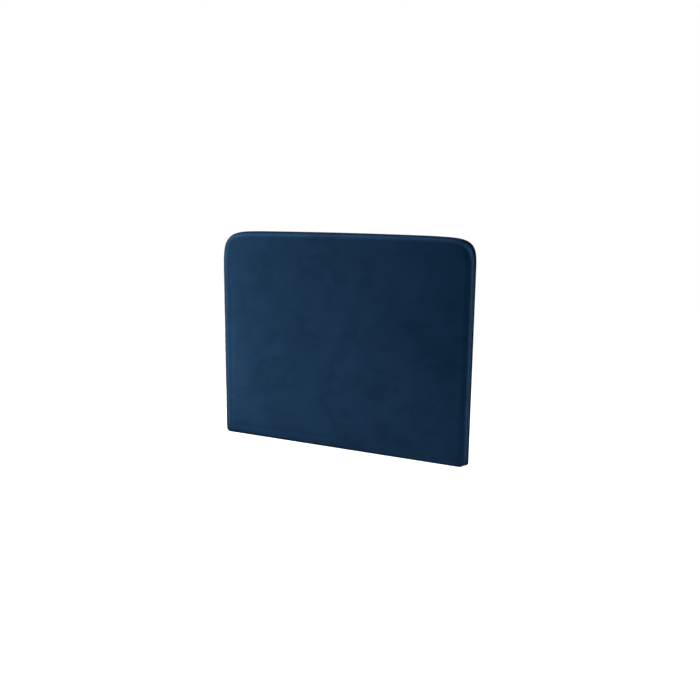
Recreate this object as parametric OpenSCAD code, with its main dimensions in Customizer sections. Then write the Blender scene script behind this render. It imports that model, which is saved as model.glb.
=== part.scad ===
// Upholstered wall pad on a bevelled hanging cleat.
// The front faces -Y and the wall is the plane y = 0. The origin is the middle of
// the wall cleat's row of screw holes, on the wall. +Z is up, sizes are millimetres.

/* [Pad] */
// Width over the velvet
pad_w = 1400; // [1200:10:1800]
// Height over the velvet
pad_h = 1120; // [960:10:1300]
// Depth from the dust cover to the front of the velvet
pad_d = 70; // [66:1:90]
// Radius of the two top corners
top_r = 110; // [90:5:150]
// Radius of the two bottom corners
bottom_r = 28; // [27:1:34]
// Radius of the rounded edge around the front
edge_r = 24; // [20:1:26]

/* [Cover and padding] */
// Thickness of the velvet with its backing
velvet_t = 1.2; // [0.8:0.1:1.6]
// Thickness of the wadding on the front
wadding_front = 5; // [4:0.5:8]
// Thickness of the wadding on the sides
wadding_side = 3.8; // [3:0.2:4.4]
// Thickness of the foam slab
foam_t = 25; // [20:1:28]
// Thickness of the foam strips around the frame
edge_foam_t = 6; // [4:0.5:8]
// Diameter of the finished piping
piping_d = 6; // [4:0.5:8]
// Diameter of the cord inside the piping
cord_d = 4; // [3:0.5:4]
// Width of the cover's turned-in edge on the back
turn_in = 38; // [32:1:50]
// Thickness of the dust cover
dust_t = 0.6; // [0.4:0.1:0.8]

/* [Frame] */
// Thickness of the face board
board_t = 5; // [4:0.5:8]
// Width of the rails and stiles
rail_w = 60; // [50:1:70]
// Width of the inner uprights
upright_w = 45; // [40:1:60]
// Distance of the inner uprights from the middle
upright_x = 230; // [180:10:280]
// Side of the square that a corner block is cut from
block_side = 130; // [125:5:160]
// Height of the hanging rail
hanging_rail_h = 75; // [70:1:80]

/* [Hanging cleat] */
// Thickness of both cleats, which is the gap to the wall
cleat_t = 15; // [12:1:18]
// Length of both cleats
cleat_len = 1000; // [960:10:1100]
// Height of each cleat at its taller face
cleat_h = 80; // [76:1:90]
// Distance from the pad's top edge down to the wall cleat's screw holes
cleat_drop = 260; // [250:5:300]
// Clearance between the pad's body and the wall cleat
cleat_gap = 0.3; // [0.2:0.1:0.5]
// Number of screw holes in the wall cleat
wall_holes = 4; // [2:1:4]
// Distance between the wall cleat's screw holes
wall_hole_pitch = 300; // [200:10:300]
// Diameter of the wall cleat's screw holes
wall_hole_d = 6; // [5:0.5:8]

/* [Spacers] */
// Side of each square spacer block
spacer_side = 60; // [50:5:60]
// Thickness of each wooden spacer block
spacer_t = 11; // [9:0.5:11]
// Distance of the spacers from the middle
spacer_x = 560; // [500:10:600]

/* [Hidden] */
$fn = 72;
eps = 1;

// Heights of the pad's edges, measured from the wall cleat's screw holes
top_z = cleat_drop;
bottom_z = cleat_drop - pad_h;

// Depths above the pad's back plane, from the back to the front
staple_wire = 0.6;
cover_back = dust_t + staple_wire;
frame_back = cover_back + velvet_t;
board_front_gap = foam_t + wadding_front + velvet_t;
frame_front = pad_d - board_front_gap - board_t;
board_front = frame_front + board_t;
foam_front = board_front + foam_t;
wadding_top = foam_front + wadding_front;

// Insets from the outline of the velvet
wadding_inset = velvet_t;
foam_inset = wadding_inset + wadding_side;
frame_inset = foam_inset + edge_foam_t;
foam_r = edge_r - foam_inset;
dust_inset = 16;

// The rim is swept around a core line, inset by the bottom corner's radius
core_w = pad_w / 2 - bottom_r;
core_bottom = bottom_z + bottom_r;
core_top = top_z - bottom_r;
core_r = top_r - bottom_r;
top_run = pad_w - 2 * top_r;
side_run = pad_h - top_r - bottom_r;

// The piping lies in the seam, just below the rounded front edge
piping_u = bottom_r - 0.8;
piping_z = pad_d - edge_r - piping_d / 2;

// Places in the frame
frame_w = pad_w / 2 - frame_inset;
frame_top = top_z - frame_inset;
frame_bottom = bottom_z + frame_inset;
bevel_low = cleat_h / 2 - cleat_t;
bevel_gap = cleat_gap * sqrt(2);
pad_cleat_low = bevel_low + bevel_gap;
pad_cleat_top = pad_cleat_low + cleat_h;
hanging_rail_low = pad_cleat_low + 12;
hanging_rail_top = hanging_rail_low + hanging_rail_h;
cleat_screw_z = (hanging_rail_low + hanging_rail_top) / 2 + 8;
spacer_z = frame_bottom + rail_w / 2 + 14;
frame_mid = (frame_back + frame_front) / 2;

// Fasteners
screw_d = 5;
screw_len = 100;
cleat_screw_d = 4.5;
cleat_screw_len = 42;
cleat_screws_n = 6;
cleat_screw_pitch = 180;
spacer_screw_d = 3.5;
spacer_screw_len = 30;
dowel_d = 8;
dowel_len = 40;
bore_gap = 0.1;
staple_crown = 10;
staple_leg = 6;
staple_pitch = 90;
nail_d = 1.6;
nail_len = 22;

velvet = [0.10, 0.20, 0.31];
velvet_dark = [0.06, 0.13, 0.22];
pine = [0.80, 0.66, 0.45];
ply = [0.76, 0.62, 0.44];
steel = [0.66, 0.67, 0.68];

// Lays out the pad with x across, y up and z out of its back plane
module pad_place() {
    translate([0, -(cleat_t + cleat_gap), 0]) rotate([90, 0, 0]) children();
}

module quarter(r) {
    intersection() {
        circle(r);
        square(r);
    }
}

// The pad's outline, inset all round
module outline(inset) {
    half = pad_w / 2 - inset;
    rt = top_r - inset;
    rb = max(bottom_r - inset, 0.5);
    low = bottom_z + inset;
    high = top_z - inset;
    translate([-half, low + rb]) square([2 * half, high - low - rb - rt]);
    translate([-half + rt, high - rt]) square([2 * (half - rt), rt]);
    translate([-half + rb, low]) square([2 * (half - rb), rb]);
    for (side = [0, 1]) mirror([side, 0]) {
        translate([half - rt, high - rt]) quarter(rt);
        translate([half - rb, low + rb]) rotate(-90) quarter(rb);
    }
}

module slab(inset, from, to) {
    translate([0, 0, from]) linear_extrude(to - from) outline(inset);
}

// One straight stretch of the rim: the profile's x points outwards
module rim_run(length) {
    rotate([90, 0, 0]) linear_extrude(length) children();
}

module rim_corner(radius) {
    rotate_extrude(angle = 90) translate([radius, 0]) children();
}

module rim_side(side) {
    mirror([side, 0, 0]) translate([core_w, top_z - top_r, 0]) rim_run(side_run) children();
}

module rim_top() {
    translate([-top_run / 2, core_top, 0]) rotate(90) rim_run(top_run) children();
    for (side = [0, 1]) mirror([side, 0, 0])
        translate([top_run / 2, top_z - top_r, 0]) rim_corner(core_r) children();
}

module rim_bottom() {
    translate([core_w, core_bottom, 0]) rotate(270) rim_run(2 * core_w) children();
}

module rim_bottom_corners() {
    for (side = [0, 1]) mirror([side, 0, 0])
        translate([core_w, core_bottom, 0]) rotate(270) rim_corner(0) children();
}

module rim() {
    rim_side(0) children();
    rim_side(1) children();
    rim_top() children();
    rim_bottom() children();
    rim_bottom_corners() children();
}

// A rectangle from the core line outwards, with its outer front corner rounded
module edge_profile(outer, front, r, back) {
    translate([0, back]) square([outer - r, front - back]);
    translate([0, back]) square([outer, front - r - back]);
    translate([outer - r, front - r]) quarter(r);
}

module piping_circle(d) {
    translate([piping_u, piping_z]) circle(d = d);
}

// ---- velvet cover ----

module velvet_profile() {
    difference() {
        edge_profile(bottom_r, pad_d, edge_r, cover_back);
        edge_profile(bottom_r - velvet_t, wadding_top, edge_r - velvet_t, -eps);
    }
}

module face_profile() {
    intersection() {
        velvet_profile();
        translate([0, piping_z + piping_d / 2]) square([bottom_r, pad_d]);
    }
}

module boxing_profile() {
    difference() {
        translate([bottom_r - velvet_t, cover_back])
            square([velvet_t, piping_z - piping_d / 2 - cover_back]);
        piping_circle(piping_d);
    }
}

module face_panel() {
    color(velvet) pad_place() {
        slab(bottom_r, wadding_top, pad_d);
        rim() face_profile();
    }
}

module turned_edge() {
    translate([0, 0, cover_back]) linear_extrude(velvet_t) difference() {
        outline(velvet_t);
        outline(turn_in);
    }
}

// The stretch of the back that belongs to the bottom strip
module bottom_zone() {
    translate([-core_w, bottom_z - eps, -eps]) cube([2 * core_w, turn_in + 2 * eps, pad_d]);
}

module boxing_strip() {
    color(velvet_dark) pad_place() {
        rim_side(0) boxing_profile();
        rim_side(1) boxing_profile();
        rim_top() boxing_profile();
        rim_bottom_corners() boxing_profile();
        difference() {
            turned_edge();
            bottom_zone();
        }
    }
}

module boxing_bottom() {
    color(velvet_dark) pad_place() {
        rim_bottom() boxing_profile();
        intersection() {
            turned_edge();
            bottom_zone();
        }
    }
}

module piping_cover() {
    color(velvet) pad_place() rim() difference() {
        piping_circle(piping_d);
        piping_circle(cord_d + bore_gap);
    }
}

module piping_cord() {
    color("ivory") pad_place() rim() piping_circle(cord_d);
}

// ---- padding ----

module wadding_profile() {
    difference() {
        edge_profile(bottom_r - wadding_inset, wadding_top, edge_r - velvet_t, frame_back);
        edge_profile(bottom_r - foam_inset, foam_front, foam_r, frame_back - eps);
        piping_circle(piping_d + bore_gap);
    }
}

module wadding() {
    color("whitesmoke") pad_place() {
        slab(bottom_r, foam_front, wadding_top);
        rim() wadding_profile();
    }
}

module foam_slab() {
    color("khaki") pad_place() {
        slab(bottom_r, board_front, foam_front);
        rim() edge_profile(bottom_r - foam_inset, foam_front, foam_r, board_front);
    }
}

module edge_foam_profile() {
    translate([bottom_r - frame_inset, frame_back]) square([edge_foam_t, board_front - frame_back]);
}

module edge_foam_top() {
    color("khaki") pad_place() rim_top() edge_foam_profile();
}

module edge_foam_side(side) {
    color("khaki") pad_place() rim_side(side) edge_foam_profile();
}

module edge_foam_bottom() {
    color("khaki") pad_place() {
        rim_bottom() edge_foam_profile();
        rim_bottom_corners() edge_foam_profile();
    }
}

// ---- frame ----

// Places a dowel or screw along x, y or z at a joint of the frame
module frame_dowel_places() {
    for (side = [0, 1]) mirror([side, 0, 0]) {
        for (dy = [15, 45])
            translate([frame_w - block_side, frame_top - dy, frame_mid]) rotate([0, 90, 0]) children();
        for (dx = [15, 45])
            translate([frame_w - dx, frame_top - block_side, frame_mid]) rotate([90, 0, 0]) children();
        for (y = [hanging_rail_low, hanging_rail_top])
            translate([upright_x, y, frame_mid]) rotate([90, 0, 0]) children();
    }
}

module frame_screw_places() {
    for (side = [0, 1]) mirror([side, 0, 0]) {
        for (y = [frame_bottom + rail_w * 0.35, frame_bottom + rail_w * 0.75,
                  hanging_rail_low + hanging_rail_h * 0.25, hanging_rail_low + hanging_rail_h * 0.75])
            translate([frame_w, y, frame_mid]) rotate([0, -90, 0]) children();
        translate([upright_x, frame_bottom, frame_mid]) rotate([-90, 0, 0]) children();
        translate([upright_x, frame_top, frame_mid]) rotate([90, 0, 0]) children();
    }
}

// A countersunk wood screw, its head's face at z = 0, pointing along +z
module wood_screw(d, length) {
    head_h = d * 0.5;
    tip_h = d * 1.2;
    cylinder(h = head_h, r1 = d, r2 = d / 2);
    translate([0, 0, head_h]) cylinder(h = length - head_h - tip_h, r = d / 2);
    translate([0, 0, length - tip_h]) cylinder(h = tip_h, r1 = d / 2, r2 = d * 0.08);
}

module drive_recess(d) {
    translate([0, 0, d * 0.12]) cube([d * 0.9, d * 0.22, d * 0.5], center = true);
    translate([0, 0, d * 0.12]) cube([d * 0.22, d * 0.9, d * 0.5], center = true);
}

module finished_screw(d, length) {
    difference() {
        wood_screw(d, length);
        drive_recess(d);
    }
}

// The hole for a wood screw, a little larger all round
module screw_bore(d, length) {
    r = d / 2 + bore_gap;
    translate([0, 0, -eps]) cylinder(h = length + 2 * eps, r = r);
    translate([0, 0, -eps]) cylinder(h = eps, r = d + bore_gap * 2);
    cylinder(h = d * 0.5 + bore_gap, r1 = d + bore_gap * 2, r2 = r);
}

module frame_bores() {
    frame_dowel_places() cylinder(h = dowel_len + 2, r = dowel_d / 2 + bore_gap, center = true);
    frame_screw_places() screw_bore(screw_d, screw_len);
}

module frame_dowels() {
    color("burlywood") pad_place() frame_dowel_places() cylinder(h = dowel_len, d = dowel_d, center = true);
}

module frame_screws() {
    color(steel) pad_place() frame_screw_places() finished_screw(screw_d, screw_len);
}

// A batten between two corners, cut to the frame's outline and drilled
module batten(from, to) {
    size = to - from;
    color(pine) pad_place() difference() {
        intersection() {
            translate([from[0], from[1], frame_back]) cube([size[0], size[1], frame_front - frame_back]);
            slab(frame_inset, 0, pad_d);
        }
        frame_bores();
        cleat_screw_places() screw_bore(cleat_screw_d, cleat_screw_len);
        spacer_screw_places() screw_bore(spacer_screw_d, spacer_screw_len);
    }
}

module top_rail() {
    batten([block_side - frame_w, frame_top - rail_w], [frame_w - block_side, frame_top]);
}

module bottom_rail() {
    batten([rail_w - frame_w, frame_bottom], [frame_w - rail_w, frame_bottom + rail_w]);
}

module stile_right() {
    batten([frame_w - rail_w, frame_bottom], [frame_w, frame_top - block_side]);
}

module stile_left() {
    batten([-frame_w, frame_bottom], [rail_w - frame_w, frame_top - block_side]);
}

module hanging_rail() {
    batten([rail_w - frame_w, hanging_rail_low], [frame_w - rail_w, hanging_rail_top]);
}

module upright(x, low, high) {
    batten([x - upright_w / 2, low], [x + upright_w / 2, high]);
}

module inner_stile(side) {
    upright(side * upright_x, frame_bottom + rail_w, hanging_rail_low);
}

module strut(side) {
    upright(side * upright_x, hanging_rail_top, frame_top - rail_w);
}

// An L-shaped block with a rounded outer corner and a diagonal inner one
module corner_block_shape() {
    leg = block_side - rail_w;
    slant = leg * 0.45;
    intersection() {
        translate([frame_w - block_side, frame_top - block_side]) polygon([
            [leg, 0], [block_side, 0], [block_side, block_side],
            [0, block_side], [0, leg], [leg - slant, leg], [leg, leg - slant]
        ]);
        outline(frame_inset);
    }
}

module corner_block(side) {
    color(ply) pad_place() difference() {
        mirror([side, 0, 0]) translate([0, 0, frame_back])
            linear_extrude(frame_front - frame_back) corner_block_shape();
        frame_bores();
    }
}

module nail_places() {
    stile_x = frame_w - rail_w / 2;
    for (side = [-1, 1]) {
        for (i = [0:7]) translate([side * stile_x, frame_bottom + 60 + i * 105, 0]) children();
        for (i = [0:5]) translate([side * upright_x, frame_bottom + 130 + i * 115, 0]) children();
    }
    for (i = [-4:4]) {
        translate([i * 125, frame_top - rail_w / 2, 0]) children();
        translate([i * 125, frame_bottom + rail_w / 2, 0]) children();
    }
}

module face_board() {
    color(ply) pad_place() difference() {
        slab(frame_inset, frame_front, board_front);
        nail_places() translate([0, 0, board_front - nail_d])
            cylinder(h = nail_d + eps, r = nail_d * 1.2 + bore_gap);
        nail_places() translate([0, 0, frame_front - eps])
            cylinder(h = board_t + 2 * eps, r = nail_d / 2 + bore_gap);
    }
}

// Nails through the face board, their heads just below its front
module face_board_nails() {
    color(steel) pad_place() nail_places() {
        translate([0, 0, board_front - nail_d]) cylinder(h = nail_d * 0.8, r = nail_d * 1.2);
        translate([0, 0, board_front - nail_len]) cylinder(h = nail_len - nail_d, d = nail_d);
    }
}

// ---- back ----

module dust_cover() {
    color([0.07, 0.07, 0.08]) pad_place() difference() {
        slab(dust_inset, 0, dust_t);
        cleat_screw_places() screw_bore(cleat_screw_d, cleat_screw_len);
        spacer_screw_places() screw_bore(spacer_screw_d, spacer_screw_len);
    }
}

// A staple on the pad's back, its crown along x and its legs into the frame
module staple() {
    translate([-staple_crown / 2, -staple_wire, 0]) cube([staple_crown, 2 * staple_wire, staple_wire]);
    for (x = [-staple_crown / 2, staple_crown / 2 - staple_wire])
        translate([x, -staple_wire, 0]) cube([staple_wire, 2 * staple_wire, staple_leg]);
}

// Rows of staples along the four straight edges, at one inset and depth
module staple_rows(inset, level) {
    across = floor(top_run / staple_pitch);
    up = floor(side_run / staple_pitch);
    for (i = [0:across]) translate([(i - across / 2) * staple_pitch, 0, level]) {
        translate([0, top_z - inset, 0]) staple();
        translate([0, bottom_z + inset, 0]) staple();
    }
    for (side = [-1, 1]) for (i = [0:up])
        translate([side * (pad_w / 2 - inset), core_bottom + 15 + i * staple_pitch, level])
            rotate(90) staple();
}

module cover_staples() {
    color(steel) pad_place() staple_rows(turn_in - 6, dust_t);
}

module dust_cover_staples() {
    color(steel) pad_place() staple_rows(dust_inset + 6, -staple_wire);
}

// ---- hanging parts ----

module cleat_screw_places() {
    for (i = [0:cleat_screws_n - 1])
        translate([(i - (cleat_screws_n - 1) / 2) * cleat_screw_pitch, cleat_screw_z, -cleat_t]) children();
}

module cleat_screws() {
    color(steel) pad_place() cleat_screw_places() finished_screw(cleat_screw_d, cleat_screw_len);
}

// The pad's cleat: its lower edge slopes down towards the wall
module pad_cleat() {
    color(ply) difference() {
        translate([cleat_len / 2, 0, 0]) rotate([0, -90, 0]) linear_extrude(cleat_len) polygon([
            [pad_cleat_low, -cleat_gap], [pad_cleat_top, -cleat_gap],
            [pad_cleat_top, -cleat_gap - cleat_t], [pad_cleat_low + cleat_t, -cleat_gap - cleat_t]
        ]);
        pad_place() cleat_screw_places() screw_bore(cleat_screw_d, cleat_screw_len);
    }
}

// A hole through the wall cleat, countersunk on the pad's side
module wall_hole() {
    r = wall_hole_d / 2;
    translate([0, eps, 0]) rotate([90, 0, 0]) cylinder(h = cleat_t + 2 * eps, r = r);
    translate([0, -cleat_t, 0]) rotate([-90, 0, 0]) cylinder(h = 4, r1 = 2 * r, r2 = r);
}

// The wall's cleat: its upper edge slopes down towards the wall
module wall_cleat() {
    color(ply) difference() {
        translate([cleat_len / 2, 0, 0]) rotate([0, -90, 0]) linear_extrude(cleat_len) polygon([
            [-cleat_h / 2, 0], [bevel_low, 0], [cleat_h / 2, -cleat_t], [-cleat_h / 2, -cleat_t]
        ]);
        for (i = [0:wall_holes - 1])
            translate([(i - (wall_holes - 1) / 2) * wall_hole_pitch, 0, 0]) wall_hole();
    }
}

module spacer_screw_places() {
    for (side = [-1, 1]) for (dx = [-15, 15])
        translate([side * spacer_x + dx, frame_bottom + rail_w / 2, -spacer_t]) children();
}

module spacer_screws() {
    color(steel) pad_place() spacer_screw_places() finished_screw(spacer_screw_d, spacer_screw_len);
}

module spacer_square(side, from, to) {
    translate([side * spacer_x - spacer_side / 2, spacer_z - spacer_side / 2, -to])
        cube([spacer_side, spacer_side, to - from]);
}

module spacer(side) {
    color(pine) pad_place() difference() {
        spacer_square(side, 0, spacer_t);
        spacer_screw_places() screw_bore(spacer_screw_d, spacer_screw_len);
    }
}

module spacer_felts() {
    color("dimgray") pad_place() for (side = [-1, 1]) spacer_square(side, spacer_t, cleat_t + cleat_gap);
}

wall_cleat();
pad_cleat();
cleat_screws();
spacer(-1);  // spacer_left
spacer(1);  // spacer_right
spacer_felts();
spacer_screws();
dust_cover();
dust_cover_staples();
cover_staples();
top_rail();
bottom_rail();
stile_left();
stile_right();
corner_block(1);  // corner_block_left
corner_block(0);  // corner_block_right
hanging_rail();
inner_stile(-1);  // inner_stile_left
inner_stile(1);  // inner_stile_right
strut(-1);  // strut_left
strut(1);  // strut_right
frame_dowels();
frame_screws();
face_board();
face_board_nails();
foam_slab();
edge_foam_top();
edge_foam_side(1);  // edge_foam_left
edge_foam_side(0);  // edge_foam_right
edge_foam_bottom();
wadding();
face_panel();
piping_cover();
piping_cord();
boxing_strip();
boxing_bottom();
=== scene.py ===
import math

import bpy
import numpy as np
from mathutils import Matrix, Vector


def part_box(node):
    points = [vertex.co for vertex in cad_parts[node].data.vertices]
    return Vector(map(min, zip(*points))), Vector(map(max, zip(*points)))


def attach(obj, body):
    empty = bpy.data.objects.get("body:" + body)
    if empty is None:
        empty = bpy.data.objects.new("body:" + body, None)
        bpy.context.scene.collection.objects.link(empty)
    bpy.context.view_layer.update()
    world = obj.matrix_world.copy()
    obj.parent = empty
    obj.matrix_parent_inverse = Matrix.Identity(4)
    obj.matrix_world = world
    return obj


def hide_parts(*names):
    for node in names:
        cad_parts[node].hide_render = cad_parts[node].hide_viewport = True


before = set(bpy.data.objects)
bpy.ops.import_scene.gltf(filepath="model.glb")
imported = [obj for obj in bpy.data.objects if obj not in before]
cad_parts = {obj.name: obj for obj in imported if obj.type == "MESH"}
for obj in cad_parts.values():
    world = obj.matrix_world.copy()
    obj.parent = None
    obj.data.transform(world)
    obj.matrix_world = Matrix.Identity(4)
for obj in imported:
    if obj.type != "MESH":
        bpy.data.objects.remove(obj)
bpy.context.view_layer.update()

# Lengths are in metres. The pad's front faces -y, and the wall is the plane y = 0.
BODY = "pad"
MM = 0.001

# ---- places read from the CAD model ----

face_low, face_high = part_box("face_panel")
piping_low, piping_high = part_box("piping_cover")
cord_low, cord_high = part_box("piping_cord")
wadding_low, wadding_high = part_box("wadding")
foam_low, foam_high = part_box("foam_slab")
board_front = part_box("face_board")[0].y
dust_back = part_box("dust_cover")[1].y

WIDTH = face_high.x - face_low.x
HEIGHT = face_high.z - face_low.z
BOTTOM = face_low.z
MIDDLE = BOTTOM + HEIGHT / 2
FRONT = face_low.y
SEAM = face_high.y
EDGE_R = SEAM - FRONT
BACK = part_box("boxing_strip")[1].y
PIPING_R = (piping_high.y - piping_low.y) / 2
PIPING_Y = (piping_high.y + piping_low.y) / 2
PIPING_OUT = piping_high.x - PIPING_R - WIDTH / 2
CORD_R = (cord_high.y - cord_low.y) / 2
VELVET = wadding_low.y - FRONT

# ---- how the sewn cover is shaped ----

# A top corner is how far its curve reaches (along the top, down the side), and a bottom corner is the radius
# of the (left, right) lower corner. Plain names are the seam's, FRONT_ the face's, BACK_ the back edge's.
TOP_CORNER = (0.352, 0.299)
TOP_POWER = 6.1
BOTTOM_CORNER = (0.016, 0.040)
FRONT_BOTTOM_CORNER = (0.055, 0.095)
BACK_TOP_CORNER = (0.316, 0.217)
BACK_BOTTOM_CORNER = (0.012, 0.012)

# The frame's own corners, plain arcs, and how far the frame and the lining stay inside the pad's outline.
CAD_TOP_CORNER = (0.110, 0.110)
CAD_BOTTOM_CORNER = (0.028, 0.028)
FRAME_INSET = 0.011
DUST_INSET = 0.016

# How much the top edge and the face swell, over what distance, and how the front edge is rounded.
TOP_CROWN = 0.007
FRONT_CROWN = 0.005
CROWN_REACH = 0.16
CROWN_WAVE = 0.0006
CROWN_WAVES = 14
ROUND_WIDE = 0.038
ROUND_POWER = 2.15

# Mesh cells across and up the face, and so round its edge.
CELLS_X = 150
CELLS_Z = 120
AROUND = 2 * (CELLS_X + CELLS_Z)


def material(name, build):
    """A node material: build gets its tree and its Principled shader."""
    made = bpy.data.materials.new(name)
    made.use_nodes = True
    tree = made.node_tree
    build(tree, tree.nodes["Principled BSDF"])
    return made


def node(tree, kind, inputs=None, **settings):
    """A new node with its settings and the values or links of its inputs."""
    made = tree.nodes.new(kind)
    for key, value in settings.items():
        setattr(made, key, value)
    for key, value in (inputs or {}).items():
        if isinstance(value, bpy.types.NodeSocket):
            tree.links.new(value, made.inputs[key])
        else:
            made.inputs[key].default_value = value
    return made


def coords(tree, scale=(1, 1, 1)):
    """The piece's own coordinates, in metres, stretched by scale."""
    place = node(tree, "ShaderNodeTexCoord")
    mapped = node(tree, "ShaderNodeMapping", {"Vector": place.outputs["Object"], "Scale": scale})
    return mapped.outputs["Vector"]


def noise(tree, vector, scale, detail=2.0, rough=0.5, distortion=0.0):
    """Cloudy noise between 0 and 1; scale is in waves per metre of the vector's space."""
    made = node(tree, "ShaderNodeTexNoise", {
        "Vector": vector, "Scale": scale, "Detail": detail, "Roughness": rough, "Distortion": distortion})
    return made.outputs["Fac"]


def ramp(tree, factor, stops):
    """A colour ramp from (position, colour) stops; a colour may be one grey number."""
    made = node(tree, "ShaderNodeValToRGB", {"Fac": factor})
    band = made.color_ramp
    while len(band.elements) < len(stops):
        band.elements.new(0.5)
    for element, (place, colour) in zip(band.elements, stops):
        element.position = place
        element.color = (colour,) * 3 + (1,) if isinstance(colour, (int, float)) else (*colour, 1)
    return made.outputs["Color"]


def mix(tree, factor, first, second, blend="MIX"):
    """Blends two colours, each a value or a link."""
    made = node(tree, "ShaderNodeMix", data_type="RGBA", blend_type=blend)
    for key, value in ((0, factor), (6, first), (7, second)):
        if isinstance(value, bpy.types.NodeSocket):
            tree.links.new(value, made.inputs[key])
        else:
            made.inputs[key].default_value = value if key == 0 else (*value, 1)
    return made.outputs[2]


def math_node(tree, operation, first, second=0.5):
    """One operation on two numbers, each a value or a link."""
    made = node(tree, "ShaderNodeMath", {0: first, 1: second}, operation=operation)
    return made.outputs[0]


def bump(tree, shader, height, distance, strength=1.0, normal=None):
    """Roughens a shader's surface by a height, on top of an earlier bump's normal when one is given."""
    inputs = {"Height": height, "Distance": distance, "Strength": strength}
    if normal is not None:
        inputs["Normal"] = normal
    made = node(tree, "ShaderNodeBump", inputs)
    tree.links.new(made.outputs["Normal"], shader.inputs["Normal"])
    return made.outputs["Normal"]


# Velvet: the glow is a painted sheen added to the base colour as the surface turns away from the view; it
# stops growing at GLOW_LIMIT of turning away. It is scaled by where the surface faces, from straight down (0)
# to straight up (1), which paints shade on the rims that face far up or down, and by its place from the lower
# edge (0) to the upper edge (1), which paints shade towards the bottom.
GLOW_LIMIT = 0.28
GLOW_POWER = 1.5
SLOPE_GAIN = 1.6
SLOPE_GLOW = [(0.26, 0.06), (0.465, 0.38), (0.484, 0.50), (0.505, 0.625),
              (0.56, 0.66), (0.69, 1.0), (0.80, 0.62), (0.93, 0.12)]
HEIGHT_GLOW = [(0.0, 0.64), (0.10, 0.82), (0.24, 0.96), (0.40, 1.0)]
STRAIGHT_POWER = 3.0


def velvet(name, deep, glow, nap, straight=(0, 0, 0)):
    """Cut pile: deep seen straight on, and glow, a painted sheen, added as the pile is seen from its side;
    nap marks vary it.

    straight is a painted light: a colour added only where the cloth is seen straight on.
    """
    def build(tree, shader):
        broad = noise(tree, coords(tree, (1.0, 1.0, 1.3)), 3.4, 5.0, 0.62, 0.8)
        strokes = noise(tree, coords(tree, (1.0, 1.0, 1.15)), 8.0, 4.0, 0.62, 1.1)
        marks = math_node(tree, "ADD", math_node(tree, "MULTIPLY", broad, 0.6),
                          math_node(tree, "MULTIPLY", strokes, 0.4))
        lean = ramp(tree, marks, [(0.38, 1 - nap), (0.47, 1.0), (0.60, 1 + nap * 0.8)])
        fibre = ramp(tree, noise(tree, coords(tree), 1500.0, 2.0, 0.7), [(0.25, 0.80), (0.75, 1.18)])
        pile = noise(tree, coords(tree), 900.0, 3.0, 0.7)
        brushed = noise(tree, coords(tree, (1.0, 1.0, 0.5)), 60.0, 4.0, 0.6)
        low = bump(tree, shader, brushed, 0.0004, 0.4)
        rough = bump(tree, shader, pile, 0.0002, 0.5, low)
        facing = node(tree, "ShaderNodeLayerWeight", {"Blend": 0.5, "Normal": rough}).outputs["Facing"]
        turned = math_node(tree, "POWER", math_node(tree, "MINIMUM", facing, GLOW_LIMIT), GLOW_POWER)
        upright = node(tree, "ShaderNodeSeparateXYZ", {0: node(tree, "ShaderNodeTexCoord").outputs["Normal"]})
        slope = node(tree, "ShaderNodeMapRange", {
            "Value": upright.outputs["Z"], "From Min": -1, "From Max": 1}).outputs[0]
        # Painted shade: the painted sheen is weaker where the surface faces far up or down.
        facing_sheen = ramp(tree, slope, SLOPE_GLOW)
        turned = math_node(tree, "MULTIPLY", turned, math_node(tree, "MULTIPLY", facing_sheen, SLOPE_GAIN))
        place = node(tree, "ShaderNodeSeparateXYZ", {0: node(tree, "ShaderNodeTexCoord").outputs["Object"]})
        height = node(tree, "ShaderNodeMapRange", {
            "Value": place.outputs["Z"], "From Min": BOTTOM, "From Max": BOTTOM + HEIGHT}).outputs[0]
        # Painted shade: the painted sheen is weaker towards the lower edge.
        sheen_by_height = ramp(tree, height, HEIGHT_GLOW)
        turned = math_node(tree, "MULTIPLY", turned, sheen_by_height)
        lit = node(tree, "ShaderNodeVectorMath", {0: glow, "Scale": turned}, operation="SCALE").outputs[0]
        colour = node(tree, "ShaderNodeVectorMath", {0: lit, 1: deep}, operation="ADD").outputs[0]
        # Painted light: straight brightens the cloth where it is seen straight on.
        if max(straight) > 0:
            share = math_node(tree, "POWER", math_node(tree, "SUBTRACT", 1.0, facing), STRAIGHT_POWER)
            more = node(tree, "ShaderNodeVectorMath", {0: straight, "Scale": share}, operation="SCALE")
            more = more.outputs[0]
            colour = node(tree, "ShaderNodeVectorMath", {0: colour, 1: more}, operation="ADD").outputs[0]
        colour = mix(tree, 1.0, colour, lean, "MULTIPLY")
        tree.links.new(mix(tree, 1.0, colour, fibre, "MULTIPLY"), shader.inputs["Base Color"])
        tree.links.new(ramp(tree, marks, [(0.35, 0.95), (0.65, 0.85)]), shader.inputs["Roughness"])
        shader.inputs["Specular IOR Level"].default_value = 0.03
        shader.inputs["Sheen Weight"].default_value = 0.06
        shader.inputs["Sheen Roughness"].default_value = 0.5
        shader.inputs["Sheen Tint"].default_value = (0.25, 0.45, 0.80, 1)
    return material(name, build)


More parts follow.
